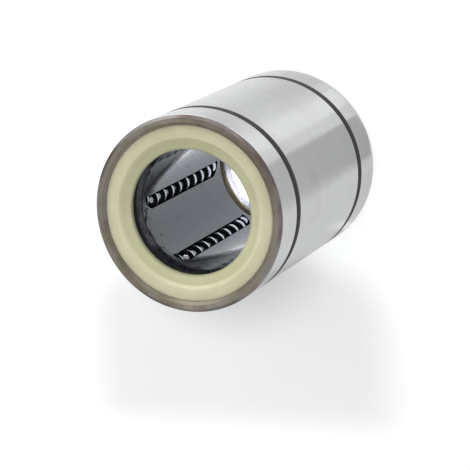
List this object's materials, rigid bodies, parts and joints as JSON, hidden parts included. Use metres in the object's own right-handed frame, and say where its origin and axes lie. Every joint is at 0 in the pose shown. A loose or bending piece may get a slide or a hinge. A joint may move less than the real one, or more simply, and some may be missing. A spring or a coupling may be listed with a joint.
{
  "type": "linear ball bearing",
  "caption": "Closed linear ball bearing: ground steel sleeve with retaining ring grooves, black ball cage, recirculating balls and pale plastic end rings.",
  "frame": {"origin": "centre of the rear end face, on the bore axis", "axes": "+Z along the bore axis from the rear face to the front face; +X through the first loaded ball row"},
  "size_m": [0.032, 0.032, 0.045],
  "materials": {
    "ground_steel": "ground outside, dark heat-tinted end faces",
    "black_plastic": "glossy moulded",
    "pale_plastic": "satin moulded",
    "spring_steel": "blackened",
    "ball_steel": "mirror polished"
  },
  "bodies": {
    "housing": {"outer_sleeve": "ground_steel", "ball_cage": "black_plastic", "front_end_ring": "pale_plastic", "rear_end_ring": "pale_plastic", "front_retaining_ring": "spring_steel", "rear_retaining_ring": "spring_steel"},
    "load_row_1_balls": {"load_row_1": "ball_steel"},
    "return_row_1_balls": {"return_row_1": "ball_steel"},
    "front_turn_1_balls": {"front_turn_1": "ball_steel"},
    "rear_turn_1_balls": {"rear_turn_1": "ball_steel"},
    "load_row_2_balls": {"load_row_2": "ball_steel"},
    "return_row_2_balls": {"return_row_2": "ball_steel"},
    "front_turn_2_balls": {"front_turn_2": "ball_steel"},
    "rear_turn_2_balls": {"rear_turn_2": "ball_steel"},
    "load_row_3_balls": {"load_row_3": "ball_steel"},
    "return_row_3_balls": {"return_row_3": "ball_steel"},
    "front_turn_3_balls": {"front_turn_3": "ball_steel"},
    "rear_turn_3_balls": {"rear_turn_3": "ball_steel"},
    "load_row_4_balls": {"load_row_4": "ball_steel"},
    "return_row_4_balls": {"return_row_4": "ball_steel"},
    "front_turn_4_balls": {"front_turn_4": "ball_steel"},
    "rear_turn_4_balls": {"rear_turn_4": "ball_steel"},
    "load_row_5_balls": {"load_row_5": "ball_steel"},
    "return_row_5_balls": {"return_row_5": "ball_steel"},
    "front_turn_5_balls": {"front_turn_5": "ball_steel"},
    "rear_turn_5_balls": {"rear_turn_5": "ball_steel"},
    "load_row_6_balls": {"load_row_6": "ball_steel"},
    "return_row_6_balls": {"return_row_6": "ball_steel"},
    "front_turn_6_balls": {"front_turn_6": "ball_steel"},
    "rear_turn_6_balls": {"rear_turn_6": "ball_steel"}
  },
  "joints": [
    {"name": "load_row_1_slide", "type": "slide", "parent": "housing", "child": "load_row_1_balls", "axis": [0, 0, 1], "range_m": [-0.0016, 0.0016]},
    {"name": "return_row_1_slide", "type": "slide", "parent": "housing", "child": "return_row_1_balls", "axis": [0, 0, 1], "range_m": [-0.0016, 0.0016]},
    {"name": "front_turn_1_swing", "type": "hinge", "parent": "housing", "child": "front_turn_1_balls", "pos_m": [0.01121, -0.00304, 0.0353], "axis": [0.9659, -0.0922, -0.2419], "range_deg": [-30, 30]},
    {"name": "rear_turn_1_swing", "type": "hinge", "parent": "housing", "child": "rear_turn_1_balls", "pos_m": [0.01121, -0.00304, 0.0097], "axis": [0.9659, -0.0922, 0.2419], "range_deg": [-30, 30]},
    {"name": "load_row_2_slide", "type": "slide", "parent": "housing", "child": "load_row_2_balls", "axis": [0, 0, 1], "range_m": [-0.0016, 0.0016]},
    {"name": "return_row_2_slide", "type": "slide", "parent": "housing", "child": "return_row_2_balls", "axis": [0, 0, 1], "range_m": [-0.0016, 0.0016]},
    {"name": "front_turn_2_swing", "type": "hinge", "parent": "housing", "child": "front_turn_2_balls", "pos_m": [0.00824, 0.00819, 0.0353], "axis": [0.5628, 0.7904, -0.2419], "range_deg": [-30, 30]},
    {"name": "rear_turn_2_swing", "type": "hinge", "parent": "housing", "child": "rear_turn_2_balls", "pos_m": [0.00824, 0.00819, 0.0097], "axis": [0.5628, 0.7904, 0.2419], "range_deg": [-30, 30]},
    {"name": "load_row_3_slide", "type": "slide", "parent": "housing", "child": "load_row_3_balls", "axis": [0, 0, 1], "range_m": [-0.0016, 0.0016]},
    {"name": "return_row_3_slide", "type": "slide", "parent": "housing", "child": "return_row_3_balls", "axis": [0, 0, 1], "range_m": [-0.0016, 0.0016]},
    {"name": "front_turn_3_swing", "type": "hinge", "parent": "housing", "child": "front_turn_3_balls", "pos_m": [-0.00297, 0.01123, 0.0353], "axis": [-0.4031, 0.8826, -0.2419], "range_deg": [-30, 30]},
    {"name": "rear_turn_3_swing", "type": "hinge", "parent": "housing", "child": "rear_turn_3_balls", "pos_m": [-0.00297, 0.01123, 0.0097], "axis": [-0.4031, 0.8826, 0.2419], "range_deg": [-30, 30]},
    {"name": "load_row_4_slide", "type": "slide", "parent": "housing", "child": "load_row_4_balls", "axis": [0, 0, 1], "range_m": [-0.0016, 0.0016]},
    {"name": "return_row_4_slide", "type": "slide", "parent": "housing", "child": "return_row_4_balls", "axis": [0, 0, 1], "range_m": [-0.0016, 0.0016]},
    {"name": "front_turn_4_swing", "type": "hinge", "parent": "housing", "child": "front_turn_4_balls", "pos_m": [-0.01121, 0.00304, 0.0353], "axis": [-0.9659, 0.0922, -0.2419], "range_deg": [-30, 30]},
    {"name": "rear_turn_4_swing", "type": "hinge", "parent": "housing", "child": "rear_turn_4_balls", "pos_m": [-0.01121, 0.00304, 0.0097], "axis": [-0.9659, 0.0922, 0.2419], "range_deg": [-30, 30]},
    {"name": "load_row_5_slide", "type": "slide", "parent": "housing", "child": "load_row_5_balls", "axis": [0, 0, 1], "range_m": [-0.0016, 0.0016]},
    {"name": "return_row_5_slide", "type": "slide", "parent": "housing", "child": "return_row_5_balls", "axis": [0, 0, 1], "range_m": [-0.0016, 0.0016]},
    {"name": "front_turn_5_swing", "type": "hinge", "parent": "housing", "child": "front_turn_5_balls", "pos_m": [-0.00824, -0.00819, 0.0353], "axis": [-0.5628, -0.7904, -0.2419], "range_deg": [-30, 30]},
    {"name": "rear_turn_5_swing", "type": "hinge", "parent": "housing", "child": "rear_turn_5_balls", "pos_m": [-0.00824, -0.00819, 0.0097], "axis": [-0.5628, -0.7904, 0.2419], "range_deg": [-30, 30]},
    {"name": "load_row_6_slide", "type": "slide", "parent": "housing", "child": "load_row_6_balls", "axis": [0, 0, 1], "range_m": [-0.0016, 0.0016]},
    {"name": "return_row_6_slide", "type": "slide", "parent": "housing", "child": "return_row_6_balls", "axis": [0, 0, 1], "range_m": [-0.0016, 0.0016]},
    {"name": "front_turn_6_swing", "type": "hinge", "parent": "housing", "child": "front_turn_6_balls", "pos_m": [0.00297, -0.01123, 0.0353], "axis": [0.4031, -0.8826, -0.2419], "range_deg": [-30, 30]},
    {"name": "rear_turn_6_swing", "type": "hinge", "parent": "housing", "child": "rear_turn_6_balls", "pos_m": [0.00297, -0.01123, 0.0097], "axis": [0.4031, -0.8826, 0.2419], "range_deg": [-30, 30]}
  ],
  "couplings": [
    {"joint": "return_row_1_slide", "follows": "load_row_1_slide", "ratio": -1},
    {"joint": "front_turn_1_swing", "follows": "load_row_1_slide", "rad_per_m": 327.25},
    {"joint": "rear_turn_1_swing", "follows": "load_row_1_slide", "rad_per_m": 327.25},
    {"joint": "return_row_2_slide", "follows": "load_row_2_slide", "ratio": -1},
    {"joint": "front_turn_2_swing", "follows": "load_row_2_slide", "rad_per_m": 327.25},
    {"joint": "rear_turn_2_swing", "follows": "load_row_2_slide", "rad_per_m": 327.25},
    {"joint": "return_row_3_slide", "follows": "load_row_3_slide", "ratio": -1},
    {"joint": "front_turn_3_swing", "follows": "load_row_3_slide", "rad_per_m": 327.25},
    {"joint": "rear_turn_3_swing", "follows": "load_row_3_slide", "rad_per_m": 327.25},
    {"joint": "return_row_4_slide", "follows": "load_row_4_slide", "ratio": -1},
    {"joint": "front_turn_4_swing", "follows": "load_row_4_slide", "rad_per_m": 327.25},
    {"joint": "rear_turn_4_swing", "follows": "load_row_4_slide", "rad_per_m": 327.25},
    {"joint": "return_row_5_slide", "follows": "load_row_5_slide", "ratio": -1},
    {"joint": "front_turn_5_swing", "follows": "load_row_5_slide", "rad_per_m": 327.25},
    {"joint": "rear_turn_5_swing", "follows": "load_row_5_slide", "rad_per_m": 327.25},
    {"joint": "return_row_6_slide", "follows": "load_row_6_slide", "ratio": -1},
    {"joint": "front_turn_6_swing", "follows": "load_row_6_slide", "rad_per_m": 327.25},
    {"joint": "rear_turn_6_swing", "follows": "load_row_6_slide", "rad_per_m": 327.25}
  ]
}
